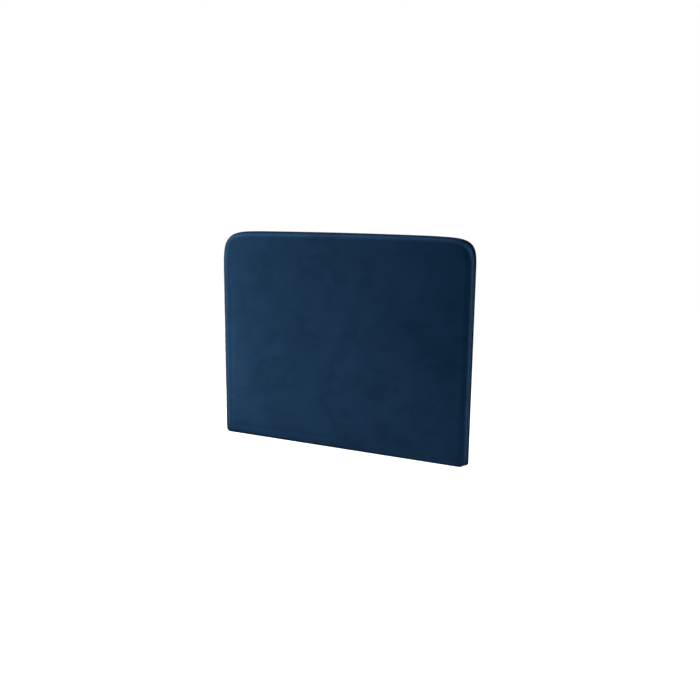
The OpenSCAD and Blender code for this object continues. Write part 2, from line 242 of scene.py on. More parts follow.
def wood(name, along, pale, grain_colour, seed):
    """Planed softwood: long grain lines along one axis, with pores and a slow change of tone."""
    def build(tree, shader):
        squash = [9.0, 9.0, 9.0]
        squash["XYZ".index(along)] = 0.55
        offset = (seed, seed * 0.7, seed * 1.3)
        place = node(tree, "ShaderNodeVectorMath", {0: coords(tree, squash), 1: offset})
        rings = node(tree, "ShaderNodeTexWave", {
            "Vector": place.outputs[0], "Scale": 2.6, "Distortion": 7.0, "Detail": 3.0, "Detail Scale": 1.2},
            wave_type="RINGS", rings_direction=along)
        pores_squash = [700.0, 700.0, 700.0]
        pores_squash["XYZ".index(along)] = 12.0
        pores = noise(tree, coords(tree, pores_squash), 1.0, 3.0, 0.6)
        tone = noise(tree, place.outputs[0], 1.5, 2.0)
        colour = mix(tree, rings.outputs["Fac"], pale, grain_colour)
        colour = mix(tree, 0.55, colour, ramp(tree, pores, [(0.3, 0.75), (0.6, 1.05)]), "MULTIPLY")
        colour = mix(tree, 0.6, colour, ramp(tree, tone, [(0.3, 0.88), (0.7, 1.08)]), "MULTIPLY")
        tree.links.new(colour, shader.inputs["Base Color"])
        tree.links.new(ramp(tree, pores, [(0.3, 0.7), (0.7, 0.52)]), shader.inputs["Roughness"])
        low = bump(tree, shader, rings.outputs["Fac"], 0.0003, 0.4)
        bump(tree, shader, pores, 0.0002, 0.6, low)
    return material(name, build)


def plywood(name, along, ply, seed):
    """Birch plywood: face grain along one axis, and dark and pale plies across its thickness in y."""
    def build(tree, shader):
        squash = [5.0, 5.0, 5.0]
        squash["XYZ".index(along)] = 0.45
        place = node(tree, "ShaderNodeVectorMath", {0: coords(tree, squash), 1: (seed, seed, seed * 0.4)})
        grain = noise(tree, place.outputs[0], 6.0, 6.0, 0.65, 0.8)
        pores_squash = [900.0, 900.0, 900.0]
        pores_squash["XYZ".index(along)] = 25.0
        pores = noise(tree, coords(tree, pores_squash), 1.0, 2.0, 0.6)
        layers = node(tree, "ShaderNodeTexWave", {"Vector": coords(tree), "Scale": math.pi / ply / 20,
                      "Distortion": 0.0}, wave_type="BANDS", bands_direction="Y", wave_profile="SIN")
        face = ramp(tree, grain, [(0.3, (0.60, 0.43, 0.26)), (0.7, (0.79, 0.64, 0.44))])
        edge = ramp(tree, layers.outputs["Fac"], [(0.42, 0.55), (0.58, 1.04)])
        colour = mix(tree, 0.85, face, edge, "MULTIPLY")
        colour = mix(tree, 0.5, colour, ramp(tree, pores, [(0.35, 0.7), (0.6, 1.05)]), "MULTIPLY")
        tree.links.new(colour, shader.inputs["Base Color"])
        tree.links.new(ramp(tree, grain, [(0.3, 0.68), (0.7, 0.5)]), shader.inputs["Roughness"])
        bump(tree, shader, pores, 0.0002, 0.6)
    return material(name, build)


def zinc(name):
    """Zinc-plated steel: a faint spangle, fine scratches and a dull film."""
    def build(tree, shader):
        spangle = noise(tree, coords(tree), 900.0, 2.0, 0.5)
        scratches = noise(tree, coords(tree, (1, 1, 14)), 1400.0, 2.0, 0.6)
        film = noise(tree, coords(tree), 140.0, 3.0, 0.6)
        colour = ramp(tree, film, [(0.3, (0.50, 0.50, 0.50)), (0.7, (0.72, 0.71, 0.68))])
        colour = mix(tree, 0.5, colour, ramp(tree, spangle, [(0.3, 0.8), (0.7, 1.1)]), "MULTIPLY")
        tree.links.new(colour, shader.inputs["Base Color"])
        tree.links.new(ramp(tree, scratches, [(0.35, 0.5), (0.65, 0.28)]), shader.inputs["Roughness"])
        shader.inputs["Metallic"].default_value = 1.0
        bump(tree, shader, scratches, 0.00005, 0.5)
    return material(name, build)


def spunbond(name):
    """Black non-woven dust cloth: embossed dots in rows over loose random fibres."""
    def build(tree, shader):
        dots = node(tree, "ShaderNodeTexVoronoi", {"Vector": coords(tree, (1, 0.02, 1.35)), "Scale": 620.0,
                    "Randomness": 0.12}, feature="F1")
        fibres = noise(tree, coords(tree), 1300.0, 5.0, 0.75, 1.5)
        cloudy = noise(tree, coords(tree), 22.0, 4.0, 0.6)
        colour = ramp(tree, fibres, [(0.3, 0.016), (0.7, 0.060)])
        colour = mix(tree, 0.6, colour, ramp(tree, cloudy, [(0.3, 0.75), (0.7, 1.3)]), "MULTIPLY")
        tree.links.new(colour, shader.inputs["Base Color"])
        dot = dots.outputs["Distance"]
        tree.links.new(ramp(tree, dot, [(0.1, 0.45), (0.4, 0.8)]), shader.inputs["Roughness"])
        shader.inputs["Sheen Weight"].default_value = 0.15
        low = bump(tree, shader, fibres, 0.0002, 0.6)
        bump(tree, shader, ramp(tree, dot, [(0.1, 0.0), (0.45, 1.0)]), 0.0002, 0.5, low)
    return material(name, build)


def soft_filling(name, dark, light, cell, fluff):
    """Foam or wadding: an open cell or loose fibre surface in a pale, uneven colour."""
    def build(tree, shader):
        cells = node(tree, "ShaderNodeTexVoronoi", {"Vector": coords(tree), "Scale": 1 / cell}, feature="F1")
        fibres = noise(tree, coords(tree), 400.0, 6.0, 0.75, fluff)
        cloudy = noise(tree, coords(tree), 14.0, 3.0, 0.6)
        colour = ramp(tree, fibres, [(0.25, dark), (0.7, light)])
        colour = mix(tree, 0.5, colour, ramp(tree, cloudy, [(0.3, 0.86), (0.7, 1.06)]), "MULTIPLY")
        tree.links.new(colour, shader.inputs["Base Color"])
        tree.links.new(ramp(tree, fibres, [(0.3, 0.98), (0.7, 0.85)]), shader.inputs["Roughness"])
        shader.inputs["Sheen Weight"].default_value = 0.2
        low = bump(tree, shader, fibres, 0.0008, 0.6)
        bump(tree, shader, cells.outputs["Distance"], cell * 0.6, 0.5, low)
    return material(name, build)


VELVET_FACE = velvet("velvet_face", (0.0048, 0.0222, 0.0540), (0.266, 0.700, 1.440), 0.13)
# The piping's velvet is a lit copy of the face's: paler, with a stronger painted sheen (painted light).
VELVET_PIPING_LIT = velvet("velvet_piping", (0.0110, 0.0290, 0.0600), (0.640, 1.150, 1.800), 0.06)
# The boxing's velvet is a shaded copy of the face's: darker, with almost no sheen (painted shade), plus
# painted light where it is seen straight on.
VELVET_SIDE_SHADED = velvet("velvet_side_painted_shade", (0.0026, 0.0130, 0.0320), (0.006, 0.014, 0.034), 0.16,
                     straight=(0.045, 0.120, 0.250))
PINE_X = wood("pine_x", "X", (0.80, 0.62, 0.38), (0.66, 0.45, 0.24), 3.1)
PINE_Z = wood("pine_z", "Z", (0.82, 0.64, 0.40), (0.68, 0.47, 0.25), 8.7)
BEECH = wood("beech_dowel", "X", (0.70, 0.50, 0.32), (0.60, 0.40, 0.24), 5.2)
PLY_CLEAT = plywood("plywood_cleat", "X", 0.0014, 2.0)
PLY_BOARD = plywood("plywood_board", "Z", 0.0012, 6.0)
STEEL = zinc("zinc_steel")
DUST = spunbond("dust_cloth")
FOAM = soft_filling("foam_cells", (0.70, 0.62, 0.36), (0.88, 0.81, 0.55), 0.0012, 0.3)
WADDING = soft_filling("wadding_fibre", (0.80, 0.80, 0.79), (0.95, 0.95, 0.94), 0.004, 2.5)
FELT = soft_filling("grey_felt", (0.10, 0.10, 0.105), (0.22, 0.22, 0.23), 0.0009, 2.0)
COTTON = soft_filling("cotton_cord", (0.68, 0.63, 0.52), (0.86, 0.82, 0.72), 0.0008, 1.0)

CARRIED = {
    "wall_cleat": PLY_CLEAT, "pad_cleat": PLY_CLEAT, "face_board": PLY_BOARD,
    "corner_block_left": PLY_BOARD, "corner_block_right": PLY_BOARD,
    "top_rail": PINE_X, "bottom_rail": PINE_X, "hanging_rail": PINE_X,
    "stile_left": PINE_Z, "stile_right": PINE_Z, "inner_stile_left": PINE_Z, "inner_stile_right": PINE_Z,
    "strut_left": PINE_Z, "strut_right": PINE_Z, "spacer_left": PINE_X, "spacer_right": PINE_X,
    "frame_dowels": BEECH, "frame_screws": STEEL, "cleat_screws": STEEL, "spacer_screws": STEEL,
    "dust_cover_staples": STEEL, "cover_staples": STEEL, "face_board_nails": STEEL,
}


def paint_carried_nodes():
    """Gives the CAD nodes that stay in the picture their own finishes."""
    for name, finish in CARRIED.items():
        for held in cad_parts[name].material_slots:
            held.material = finish


# ---- outlines ----

def corner_half(centre, reach, power, start, end, count=48):
    """Points of one half of a rounded corner, between two directions in degrees."""
    angle = np.radians(np.linspace(start, end, count))
    cos, sin = np.cos(angle), np.sin(angle)
    x = np.sign(cos) * np.abs(cos) ** (2 / power)
    z = np.sign(sin) * np.abs(sin) ** (2 / power)
    return np.stack([centre[0] + reach[0] * x, centre[1] + reach[1] * z], axis=1)


# How much a bend counts as length when points are shared out along a line, in metres per radian.
BEND_SHARE = 0.03


def resample(line, cells):
    """cells + 1 points along a line, closer together where it bends."""
    step = np.diff(line, axis=0)
    heading = np.unwrap(np.arctan2(step[:, 1], step[:, 0]))
    bend = np.abs(np.gradient(heading))
    along = np.concatenate([[0], np.cumsum(np.linalg.norm(step, axis=1) + BEND_SHARE * bend)])
    at = np.linspace(0, along[-1], cells + 1)
    return np.stack([np.interp(at, along, line[:, k]) for k in range(2)], axis=1)


def outline(top_corner, top_power, bottom_corner, density=1, inset=0.0, rise_by=TOP_CROWN):
    """The pad's outline as (x, z) points and outward normals, anticlockwise from the lower left corner."""
    half, top, low = WIDTH / 2 - inset, BOTTOM + HEIGHT - inset, BOTTOM + inset
    wide, tall = top_corner[0] - inset, top_corner[1] - inset
    left, right = (max(corner - inset, MM) for corner in bottom_corner)
    low_left, low_right = (-half + left, low + left), (half - right, low + right)
    top_left, top_right = (-half + wide, top - tall), (half - wide, top - tall)
    below_left, below_right, above = ((left, left), 2), ((right, right), 2), ((wide, tall), top_power)
    sides = [
        ((low_left, *below_left, 225, 270), (low_right, *below_right, 270, 315), CELLS_X),
        ((low_right, *below_right, -45, 0), (top_right, *above, 0, 45), CELLS_Z),
        ((top_right, *above, 45, 90), (top_left, *above, 90, 135), CELLS_X),
        ((top_left, *above, 135, 180), (low_left, *below_left, 180, 225), CELLS_Z),
    ]
    loop = []
    for first, second, cells in sides:
        halves = [corner_half(*half) for half in (first, second)]
        loop.append(resample(np.concatenate(halves), cells * density)[:-1])
    points = np.concatenate(loop)
    rise = np.clip((points[:, 1] - MIDDLE) / (HEIGHT / 2), 0, 1)
    points[:, 1] += rise_by * rise * (1 - (points[:, 0] / (WIDTH / 2)) ** 2)
    tangent = np.roll(points, -1, axis=0) - np.roll(points, 1, axis=0)
    tangent /= np.linalg.norm(tangent, axis=1)[:, None]
    return points, np.stack([tangent[:, 1], -tangent[:, 0]], axis=1)


def ring(points, normals, out, y):
    """One ring of 3-D points, moved outwards from the outline. out and y may change along it."""
    flat = points + normals * np.reshape(out, (-1, 1))
    return np.stack([flat[:, 0], np.broadcast_to(y, len(points)).astype(float), flat[:, 1]], axis=1)


def wrapped(rows, density):
    """Rings from (share, out, y) rows: share is -1 at the front outline, 0 at the seam's, 1 at the back's."""
    front = outline(TOP_CORNER, TOP_POWER, FRONT_BOTTOM_CORNER, density)
    seam = outline(TOP_CORNER, TOP_POWER, BOTTOM_CORNER, density)
    back = outline(BACK_TOP_CORNER, TOP_POWER, BACK_BOTTOM_CORNER, density)
    rings = []
    for share, out, y in rows:
        other, part = (front, -share) if share < 0 else (back, share)
        rings.append(ring(*(seam[k] * (1 - part) + other[k] * part for k in (0, 1)), out, y))
    return np.stack(rings)


def wave(count, seed, cycles, amount):
    """A smooth, closed random wave along a ring, between about -amount and amount."""
    rng = np.random.default_rng(seed)
    turn = np.linspace(0, 2 * math.pi, count, endpoint=False)
    total = np.zeros(count)
    for k in cycles:
        total += rng.normal() * np.sin(k * turn + rng.uniform(0, 2 * math.pi))
    return amount * total / math.sqrt(len(cycles))


# ---- meshes ----

SHARP_DEGREES = 40
WELD_REACH = 0.00002


def piece(name, points, faces, finish):
    """A new mesh object in the scene."""
    mesh = bpy.data.meshes.new(name)
    mesh.from_pydata([tuple(p) for p in points], [], [tuple(int(i) for i in f) for f in faces])
    mesh.validate()
    mesh.update()
    mesh.polygons.foreach_set("use_smooth", [True] * len(mesh.polygons))
    mesh.materials.append(finish)
    made = bpy.data.objects.new(name, mesh)
    bpy.context.scene.collection.objects.link(made)
    return made


def band_faces(rows, count, closed=True, first=0):
    """Quads between neighbouring rings of count points each."""
    around = count if closed else count - 1
    i = np.arange(around)
    faces = [np.zeros((0, 4), int)]
    for r in range(rows - 1):
        a, b = first + r * count, first + (r + 1) * count
        faces.append(np.stack([a + i, a + (i + 1) % count, b + (i + 1) % count, b + i], axis=1))
    return np.concatenate(faces)


def coons(edge, cells_x, cells_z):
    """Fills a closed ring of points with a grid whose border is the ring."""
    bottom = edge[:cells_x + 1]
    right = edge[cells_x:cells_x + cells_z + 1]
    top = edge[cells_x + cells_z:2 * cells_x + cells_z + 1][::-1]
    left = np.concatenate([edge[2 * cells_x + cells_z:], edge[:1]])[::-1]
    u = np.linspace(0, 1, cells_x + 1)[:, None, None]
    v = np.linspace(0, 1, cells_z + 1)[None, :, None]
    across = (1 - v) * bottom[:, None] + v * top[:, None]
    up = (1 - u) * left[None] + u * right[None]
    flat = ((1 - u) * (1 - v) * bottom[0] + u * (1 - v) * bottom[-1]
            + (1 - u) * v * top[0] + u * v * top[-1])
    return across + up - flat


def capped(rings, cells_x, cells_z):
    """A surface from rings, whose last ring is filled with a grid. Returns its points and faces."""
    count = rings.shape[1]
    points = rings.reshape(-1, 3)
    last = len(points) - count
    grid = coons(rings[-1], cells_x, cells_z)
    index = np.full((cells_x + 1, cells_z + 1), -1)
    index[:, 0] = last + np.arange(cells_x + 1)
    index[-1, :] = last + cells_x + np.arange(cells_z + 1)
    index[::-1, -1] = last + cells_x + cells_z + np.arange(cells_x + 1)
    index[0, ::-1] = last + (2 * cells_x + cells_z + np.arange(cells_z + 1)) % count
    inner = grid[1:-1, 1:-1]
    index[1:-1, 1:-1] = len(points) + np.arange(inner.shape[0] * inner.shape[1]).reshape(inner.shape[:2])
    faces = np.stack([index[:-1, :-1], index[1:, :-1], index[1:, 1:], index[:-1, 1:]], axis=-1).reshape(-1, 4)
    return (np.concatenate([points, inner.reshape(-1, 3)]),
            np.concatenate([band_faces(len(rings), count), faces]))


def thicken(made, thickness):
    """Gives a surface its thickness, on the side that its normals point away from."""
    solid = made.modifiers.new("thickness", "SOLIDIFY")
    solid.thickness = thickness
    solid.offset = -1
    return apply_modifiers(made)


def apply_modifiers(made):
    """Turns a piece's modifiers into its mesh."""
    graph = bpy.context.evaluated_depsgraph_get()
    mesh = bpy.data.meshes.new_from_object(made.evaluated_get(graph))
    made.modifiers.clear()
    old = made.data
    made.data = mesh
    bpy.data.meshes.remove(old)
    return made


def mark_sharp(made):
    """Keeps the rims of thin pieces crisp under smooth shading."""
    made.data.set_sharp_from_angle(angle=math.radians(SHARP_DEGREES))
    return made


def weld(made):
    """Joins points that lie on each other."""
    join = made.modifiers.new("weld", "WELD")
    join.merge_threshold = WELD_REACH
    apply_modifiers(made)
    made.data.update()


# ---- the velvet face ----

FACE_STEPS = 14
ROUND_SPREAD = 0.9
PUCKER_FADE = 1.5

# The face in the cloth solver: rings of points from the seam inwards, how firmly each keeps its place (1 is
# pinned) and what share of the growth it has. The rings before FACE_RIM_RINGS never sink into the filling.
FACE_PINNED_RINGS = 3
FACE_ROUND_RINGS = 11
FACE_FLAT_RINGS = 17
FACE_RIM_RINGS = 20
FACE_HOLD = (1.0, 0.08, 0.10, 0.15)
FACE_SPARE = (1.0, 1.0, 0.4, 0.0)
FACE_PRESSURE = 1.2
FACE_GROWTH = 0.045
FACE_BENDING = 0.15
FACE_MOVE = 0.0030

CLOTH_FRAMES = 20
CLOTH = {"quality": 6, "mass": 0.3, "air_damping": 2, "tension_stiffness": 40, "compression_stiffness": 40,
         "shear_stiffness": 20}


def round_rows(under, steps):
    """Rows over the pad's rounded front edge, from its side to its front, at a depth under the cover."""
    rows = []
    for step in range(1, steps + 1):
        turn = math.pi / 2 * (step / steps) ** ROUND_SPREAD
        inset = ROUND_WIDE * (1 - math.cos(turn) ** (2 / ROUND_POWER)) + under * math.cos(turn)
        depth = EDGE_R * (1 - math.sin(turn) ** (2 / ROUND_POWER)) + under * math.sin(turn)
        rows.append((-step / steps, -inset, FRONT + depth))
    return rows


def face_rings():
    """Rings from the piping's seam, over the rounded edge and onto the front."""
    pucker = wave(AROUND, 11, range(40, 150, 7), 0.00045) + wave(AROUND, 12, range(6, 30, 3), 0.0005)
    rows = [
        (0.0, -3.4 * MM, SEAM + 0.4 * MM),
        (0.0, -2.2 * MM + 0.6 * pucker, SEAM - 0.6 * MM),
        (0.0, -0.7 * MM + pucker, SEAM - 2.0 * MM),
    ]
    rounding = round_rows(0.0, FACE_STEPS)
    for step, (share, out, y) in enumerate(rounding):
        fade = (1 - (step + 1) / FACE_STEPS) ** PUCKER_FADE
        rows.append((share, out + pucker * fade, y))
    rows += [(-1.0, -ROUND_WIDE - more * MM, FRONT) for more in (4, 9)]
    return wrapped(rows, 1)


def crown(points):
    """Swells the front a little, from nothing at its edge, with slow waves of the filling."""
    x = np.clip(WIDTH / 2 - np.abs(points[:, 0]), 0, None) / CROWN_REACH
    z = np.clip(np.minimum(points[:, 2] - BOTTOM, BOTTOM + HEIGHT - points[:, 2]), 0, None) / CROWN_REACH
    rise = (1 - np.exp(-x ** 2)) * (1 - np.exp(-z ** 2))
    rng = np.random.default_rng(5)
    waves = np.zeros(len(points))
    for size in rng.uniform(0.12, 0.5, CROWN_WAVES):
        heading, start = rng.uniform(0, math.pi), rng.uniform(0, 2 * math.pi)
        run = points[:, 0] * math.cos(heading) + points[:, 2] * math.sin(heading)
        waves += size * np.sin(run * 2 * math.pi / size + start)
    points[:, 1] -= rise * (FRONT_CROWN + CROWN_WAVE * waves)
    return points


def soft_limit(values, low, high):
    """Values held smoothly between low (negative) and high (positive)."""
    bound = np.where(values < 0, np.abs(low), high)
    return bound * np.tanh(values / np.maximum(bound, 1e-9))


def settle_cloth(made, hold, grow, pressure, growth, bending, weight=0.0):
    """Runs the cloth solver and returns how far each point moved.

    hold says how firmly each point keeps its place (1 is pinned), and grow what share of the growth it has.
    """
    before = np.array([v.co for v in made.data.vertices])
    for name, values in (("hold", hold), ("grow", grow)):
        group = made.vertex_groups.new(name=name)
        for index, value in enumerate(values):
            group.add([index], float(value), "REPLACE")
    cloth = made.modifiers.new("cloth", "CLOTH")
    settings = cloth.settings
    for name, value in CLOTH.items():
        setattr(settings, name, value)
    settings.bending_stiffness = bending
    settings.vertex_group_mass = "hold"
    settings.vertex_group_shrink = "grow"
    settings.shrink_min = 0.0
    settings.shrink_max = -growth
    settings.use_pressure = True
    settings.uniform_pressure_force = pressure
    settings.effector_weights.gravity = weight
    cloth.point_cache.frame_start = 1
    cloth.point_cache.frame_end = CLOTH_FRAMES
    for number in range(1, CLOTH_FRAMES + 1):
        bpy.context.scene.frame_set(number)
    graph = bpy.context.evaluated_depsgraph_get()
    after = np.array([v.co for v in made.evaluated_get(graph).to_mesh().vertices])
    made.modifiers.clear()
    made.vertex_groups.clear()
    bpy.context.scene.frame_set(1)
    return after - before


def move_points(made, shift):
    """Moves each point of a piece by its row of shift."""
    places = np.array([v.co for v in made.data.vertices]) + shift
    made.data.vertices.foreach_set("co", places.ravel())
    made.data.update()


def velvet_face():
    """The front panel: rounded, crowned, then settled so that it puckers a little along its seam."""
    points, faces = capped(face_rings(), CELLS_X, CELLS_Z)
    points = crown(points)
    made = piece("velvet_face", points, faces, VELVET_FACE)
    ring_number = np.arange(len(points)) // AROUND
    later = [FACE_PINNED_RINGS, FACE_ROUND_RINGS, FACE_FLAT_RINGS]
    hold = np.interp(ring_number, [FACE_PINNED_RINGS - 1] + later, FACE_HOLD)
    grow = np.interp(ring_number, [0] + later, FACE_SPARE)
    shift = settle_cloth(made, hold, grow, FACE_PRESSURE, FACE_GROWTH, FACE_BENDING)
    length = np.linalg.norm(shift, axis=1)[:, None]
    shift *= soft_limit(length, 0, FACE_MOVE) / np.maximum(length, 1e-9)
    on_rim = (ring_number < FACE_RIM_RINGS)[:, None]
    outward = np.array([made.data.vertices[i].normal for i in range(len(points))])
    sunk = np.minimum(np.sum(shift * outward, axis=1), 0)[:, None]
    shift -= np.where(on_rim, sunk, 0) * outward
    move_points(made, shift)
    thicken(made, VELVET)
    return made


paint_carried_nodes()
face = velvet_face()
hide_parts("face_panel")
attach(face, BODY)


# ---- the boxing ----

BOXING_BELLY = 0.8 * MM
BOXING_STEPS = (0.12, 0.25, 0.4, 0.55, 0.7, 0.82, 0.91)
BACK_ROUND = 2.5 * MM
BACK_TURNS = (15, 35, 55, 75, 90)

# Rings over the edge that is turned in on the back, in millimetres from the outline.
TURNED_IN = (7, 13, 20, 27, 33)

# The bottom strip starts this far in from the sides and lies below this height, measured on one ring.
SPLIT_RING = 5
SPLIT_IN = 0.028
SPLIT_UP = 0.02


def boxing_rings():
    """Rings from the piping down the side, round the back edge and in over the back."""
    count = 2 * AROUND
    pucker = wave(count, 21, range(60, 220, 9), 0.0004) + wave(count, 22, range(6, 40, 4), 0.0005)
    seam = PIPING_Y + PIPING_R
    depth = BACK - seam
    rows = [
        (0.0, -3.2 * MM, seam - 0.4 * MM),
        (0.0, -1.6 * MM + 0.5 * pucker, seam + 0.9 * MM),
        (0.02, -0.4 * MM + pucker, seam + 2.2 * MM),
    ]
    for step in BOXING_STEPS:
        belly = BOXING_BELLY * math.sin(math.pi * step)
        rows.append((min(step * 1.3, 1.0), belly + pucker * (1 - step) ** PUCKER_FADE, seam + depth * step))
    for turn in BACK_TURNS:
        t = math.radians(turn)
        rows.append((1.0, BACK_ROUND * (math.cos(t) - 1), BACK - BACK_ROUND * (1 - math.sin(t))))
    turned_in = []
    for inset in TURNED_IN:
        flat = outline(BACK_TOP_CORNER, TOP_POWER, BACK_BOTTOM_CORNER, 2, inset * MM)
        turned_in.append(ring(*flat, 0, BACK))
    return np.concatenate([wrapped(rows, 2), turned_in])


def strip(name, rings, keep, finish):
    """The part of a set of rings that keep chooses, as an open strip with a thickness."""
    count = rings.shape[1]
    start = int(np.flatnonzero(keep & ~np.roll(keep, 1))[0])
    order = [(start + i) % count for i in range(int(keep.sum()) + 1)]
    some = rings[:, order]
    faces = band_faces(len(rings), len(order), closed=False)
    made = piece(name, some.reshape(-1, 3), faces[:, ::-1], finish)
    return mark_sharp(thicken(made, VELVET))


def velvet_boxing():
    """Two strips: one up the left side, over the top and down the right, and one along the bottom."""
    rings = boxing_rings()
    side = rings[SPLIT_RING]
    is_low = (np.abs(side[:, 0]) < WIDTH / 2 - SPLIT_IN) & (side[:, 2] < BOTTOM + SPLIT_UP)
    for name, keep, node_name, length in (
            ("velvet_boxing", ~is_low, "boxing_strip", 2 * HEIGHT + WIDTH),
            ("velvet_boxing_bottom", is_low, "boxing_bottom", WIDTH)):
        made = strip(name, rings, keep, VELVET_SIDE_SHADED)
        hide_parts(node_name)
        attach(made, BODY)


# ---- the piping ----

PIPING_TAIL = 3.3 * MM
PIPING_CLOTH = 0.8 * MM
PIPING_GAP = 165
PIPING_POINTS = 17

# The cord's section is a circle with three lobes, and one turn of its twist takes CORD_LAY.
CORD_LAY = 0.016
CORD_POINTS = 12
CORD_LOBES = 3
CORD_ROUND = 0.88
CORD_LOBE = 0.10


def loop_tube(name, section, finish, closed_section, twist=0.0):
    """Sweeps a section of (out, y) points along the seam. twist turns the section, in radians per metre."""
    points, normals = outline(TOP_CORNER, TOP_POWER, BOTTOM_CORNER, 3)
    count = len(points)
    length = 2 * (WIDTH + HEIGHT)
    turns = round(twist * length / (2 * math.pi)) * 2 * math.pi
    turn = np.linspace(0, turns, count, endpoint=False)
    ripple = 1 + wave(count, 31, range(90, 400, 13), 0.035)
    rings = []
    for out, y in section:
        across = (out * np.cos(turn) - y * np.sin(turn)) * ripple
        along = (out * np.sin(turn) + y * np.cos(turn)) * ripple
        rings.append(ring(points, normals, PIPING_OUT + across, PIPING_Y + along))
    if closed_section:
        rings.append(rings[0])
    faces = band_faces(len(rings), count)
    if closed_section:
        rings.pop()
        faces %= len(rings) * count
    return piece(name, np.concatenate(rings), faces[:, ::-1], finish)


def piping():
    """The welt, whose velvet is open towards the seam, and the twisted cord inside it."""
    middle = PIPING_R - 0.1 * MM
    turns = np.radians(np.linspace(PIPING_GAP, -PIPING_GAP, PIPING_POINTS))
    section = [(-PIPING_TAIL, middle * math.sin(turns[0]))]
    section += [(middle * math.cos(t), middle * math.sin(t)) for t in turns]
    section.append((-PIPING_TAIL, middle * math.sin(turns[-1])))
    cover = loop_tube("velvet_piping", section, VELVET_PIPING_LIT, closed_section=False)
    thicken(cover, PIPING_CLOTH)
    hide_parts("piping_cover")
    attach(cover, BODY)
    lobes = []
    for t in np.linspace(0, 2 * math.pi, CORD_POINTS, endpoint=False):
        r = CORD_R * (CORD_ROUND + CORD_LOBE * math.cos(CORD_LOBES * t))
        lobes.append((r * math.cos(t), r * math.sin(t)))
    cord = loop_tube("twisted_cord", lobes[::-1], COTTON, closed_section=True, twist=2 * math.pi / CORD_LAY)
    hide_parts("piping_cord")
    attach(cord, BODY)


# ---- the filling ----

# How deep the wadding's and the foam's outer faces lie under the cover's, and rings over their rounded front.
WADDING_UNDER = 2.5 * MM
FOAM_UNDER = foam_low.y - FRONT
FILLING_STEPS = 10

# How far the wadding's two faces and the edge foam's outer face lie inside the cover's outline.
WADDING_OUT = 2.0 * MM
WADDING_IN = 4.9 * MM
EDGE_FOAM_OUT = 5.3 * MM


def shell(name, outer, inner, finish):
    """A closed piece between two sets of rings, each filled at its front end, joined at their first rings."""
    out_points, out_faces = capped(outer, CELLS_X, CELLS_Z)
    in_points, in_faces = capped(inner, CELLS_X, CELLS_Z)
    out_points, in_points = crown(out_points), crown(in_points)
    join = band_faces(2, AROUND)
    index = np.concatenate([len(out_points) + np.arange(AROUND), np.arange(AROUND)])
    faces = np.concatenate([out_faces, in_faces[:, ::-1] + len(out_points), index[join]])
    return piece(name, np.concatenate([out_points, in_points]), faces, finish)


def wadding():
    """Wadding from the back rim, pinched in under the piping, and over the front."""
    rim = wadding_high.y
    seam = PIPING_Y
    outer = [
        (1.0, -2.6 * MM, rim),
        (1.0, -WADDING_OUT, rim - 1.5 * MM),
        (0.52, -WADDING_OUT, seam + 20 * MM),
        (0.18, -2.3 * MM, seam + 10 * MM),
        (0.0, -3.2 * MM, seam + 5 * MM),
        (0.0, -WADDING_IN, seam + 1.5 * MM),
        (0.0, -WADDING_IN, seam - 1.5 * MM),
    ]
    outer += round_rows(WADDING_UNDER, FILLING_STEPS)
    inner = [
        (1.0, -WADDING_IN, rim),
        (0.52, -WADDING_IN, seam + 20 * MM),
        (0.0, -5.0 * MM, seam + 5 * MM),
        (0.0, -5.4 * MM, seam),
    ]
    inner += round_rows(FOAM_UNDER - 0.2 * MM, FILLING_STEPS)
    made = shell("wadding_wrap", wrapped(outer, 1), wrapped(inner, 1), WADDING)
    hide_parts("wadding")
    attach(made, BODY)


def foam_slab():
    """The cut foam slab: a rounded front edge and a flat back."""
    back = foam_high.y - 0.2 * MM
    rows = [(0.0, -12 * MM, back), (0.0, -8 * MM, back), (0.0, -6.0 * MM, back - 0.8 * MM)]
    rows += round_rows(FOAM_UNDER, FILLING_STEPS)
    rings = wrapped(rows, 1)
    points, faces = capped(rings, CELLS_X, CELLS_Z)
    back_points, back_faces = capped(rings[::-1][-1:], CELLS_X, CELLS_Z)
    points = crown(points)
    faces = np.concatenate([faces, back_faces[:, ::-1] + len(points)])
    made = piece("foam_slab_cut", np.concatenate([points, back_points]), faces, FOAM)
    weld(made)
    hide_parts("foam_slab")
    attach(made, BODY)


def edge_foams():
    """Foam strips round the frame: top with both corners, two sides, and bottom with its corners."""
    core = outline(CAD_TOP_CORNER, 2, CAD_BOTTOM_CORNER, 1, FRAME_INSET - 0.15 * MM, 0.0)
    back, front = wadding_high.y, board_front
    outer = wrapped([
        (1.0, -5.9 * MM, back),
        (1.0, -EDGE_FOAM_OUT, back - 1.5 * MM),
        (0.55, -EDGE_FOAM_OUT, back - 18 * MM),
        (0.02, -5.4 * MM, front + 1.5 * MM),
        (0.0, -6.2 * MM, front + 0.2 * MM),
    ], 1)
    inner = np.stack([ring(*core, 0, y) for y in (front + 0.2 * MM, back - 18 * MM, back)])
    loop = np.concatenate([outer, inner])
    height = core[0][:, 1]
    right = core[0][:, 0] > 0
    top_high, low_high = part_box("edge_foam_top")[0].z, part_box("edge_foam_bottom")[1].z
    middle = (height > low_high) & (height <= top_high)
    for name, keep in (("edge_foam_top", height > top_high), ("edge_foam_left", middle & ~right),
                       ("edge_foam_right", middle & right), ("edge_foam_bottom", height <= low_high)):
        start = int(np.flatnonzero(keep & ~np.roll(keep, 1))[0])
        order = (start + np.arange(int(keep.sum()))) % AROUND
        some = loop[:, order]
        count, rows = len(order), len(loop)
        faces = band_faces(rows, count, closed=False)
        run = np.arange(count - 1)
        top_row = (rows - 1) * count
        last = np.stack([top_row + run, top_row + 1 + run, 1 + run, run], axis=1)
        ends = [[r * count for r in range(rows)], [r * count + count - 1 for r in range(rows)][::-1]]
        made = piece(name + "_strip", some.reshape(-1, 3), list(faces) + list(last) + ends, FOAM)
        mark_sharp(made)
        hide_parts(name)
        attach(made, BODY)


# ---- the back ----

